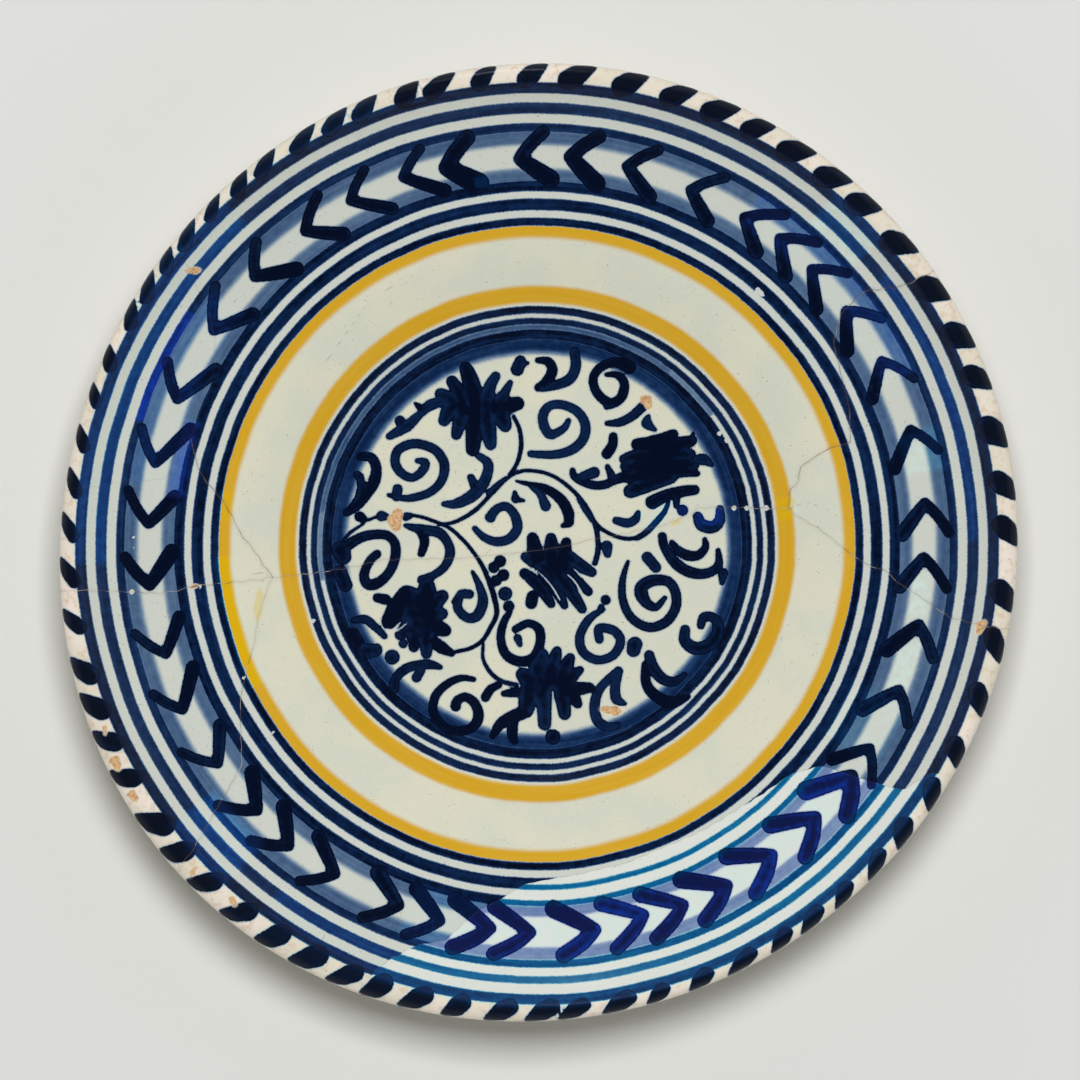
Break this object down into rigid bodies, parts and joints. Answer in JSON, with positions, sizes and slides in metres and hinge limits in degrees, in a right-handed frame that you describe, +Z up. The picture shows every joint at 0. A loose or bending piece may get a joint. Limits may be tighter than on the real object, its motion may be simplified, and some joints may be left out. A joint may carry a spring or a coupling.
{
  "type": "mended broken dish",
  "caption": "Round tin-glazed earthenware dish, broken and glued together again, with painted rings, arrowhead border, scrollwork centre, plaster rim fills and flaked glaze.",
  "frame": {"origin": "centre of the dish on plan, at the underside of the foot ring that it stands on", "axes": "+Z up out of the painted face; +X to the right and +Y to the top of the painted face as it is shown"},
  "size_m": [0.2997, 0.2997, 0.047],
  "materials": {
    "tin_glaze": "gloss",
    "painted_plaster": "satin",
    "glue": "satin"
  },
  "bodies": {
    "root": {"sherd_upper": "tin_glaze", "sherd_lower": "tin_glaze", "sherd_left_upper": "tin_glaze", "sherd_left_lower": "tin_glaze", "sherd_right": "tin_glaze", "rim_fill_lower": "painted_plaster", "rim_fill_upper_left": "painted_plaster"}
  },
  "joints": []
}
